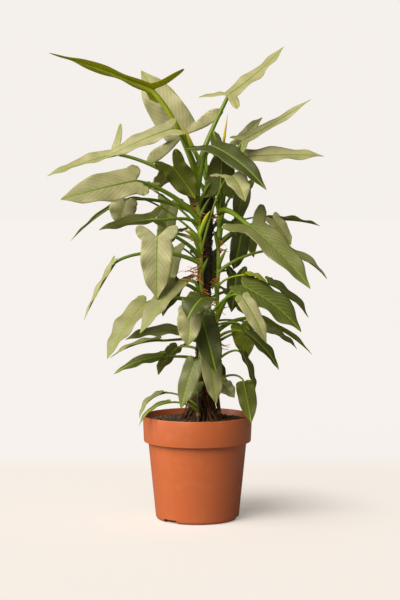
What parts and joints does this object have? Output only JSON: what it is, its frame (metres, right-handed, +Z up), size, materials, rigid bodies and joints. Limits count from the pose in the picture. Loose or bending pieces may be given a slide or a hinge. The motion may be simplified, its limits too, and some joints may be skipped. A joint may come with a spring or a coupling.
{
  "type": "potted philodendron",
  "caption": "Climbing philodendron with long silvery arrow-shaped leaves on a dark moss pole, in a plain terracotta-coloured nursery pot with soil.",
  "frame": {"origin": "centre of the pot's flat underside", "axes": "+Z up along the moss pole, -Y towards the viewer's side of the plant, +X to the viewer's right"},
  "size_m": [0.6105, 0.4597, 1.0353],
  "materials": {
    "pot_plastic": "satin moulded terracotta colour",
    "potting_soil": "loose dark crumbs of peat and bark",
    "coir_pole": "rough dark coir fibre and moss",
    "stem_bark": "smooth green stem with tan rings",
    "leaf_blade": "waxy silver grey-green with a lime midrib",
    "young_growth": "waxy yellow-green"
  },
  "bodies": {
    "root": {"pot": "pot_plastic", "soil": "potting_soil", "moss_pole": "coir_pole", "vine_front": "stem_bark", "vine_right": "stem_bark", "vine_back": "stem_bark", "leaf_01": "leaf_blade", "leaf_02": "leaf_blade", "leaf_03": "leaf_blade", "leaf_04": "leaf_blade", "leaf_05": "leaf_blade", "leaf_06": "leaf_blade", "leaf_07": "leaf_blade", "leaf_08": "leaf_blade", "leaf_09": "leaf_blade", "leaf_10": "leaf_blade", "leaf_11": "leaf_blade", "leaf_12": "leaf_blade", "leaf_13": "leaf_blade", "leaf_14": "leaf_blade", "leaf_15": "leaf_blade", "leaf_16": "leaf_blade", "leaf_17": "leaf_blade", "leaf_18": "leaf_blade", "leaf_19": "leaf_blade", "leaf_20": "leaf_blade", "leaf_21": "leaf_blade", "leaf_22": "leaf_blade", "leaf_23": "leaf_blade", "leaf_24": "leaf_blade", "leaf_25": "leaf_blade", "leaf_26": "leaf_blade", "leaf_27": "leaf_blade", "leaf_28": "leaf_blade", "leaf_29": "leaf_blade", "leaf_30": "leaf_blade", "leaf_31": "leaf_blade", "leaf_32": "leaf_blade", "leaf_33": "leaf_blade", "leaf_34": "leaf_blade", "leaf_35": "leaf_blade", "leaf_36": "leaf_blade", "leaf_37": "leaf_blade", "leaf_38": "leaf_blade", "leaf_39": "leaf_blade", "leaf_40": "leaf_blade", "leaf_41": "leaf_blade", "leaf_42": "leaf_blade", "leaf_43": "leaf_blade", "leaf_44": "leaf_blade", "leaf_45": "leaf_blade", "leaf_46": "leaf_blade", "leaf_47": "leaf_blade", "leaf_48": "leaf_blade", "leaf_49": "leaf_blade", "spear_upper_left": "young_growth", "spear_upper_right": "young_growth", "sheath_middle": "young_growth", "sheath_left": "young_growth"}
  },
  "joints": []
}
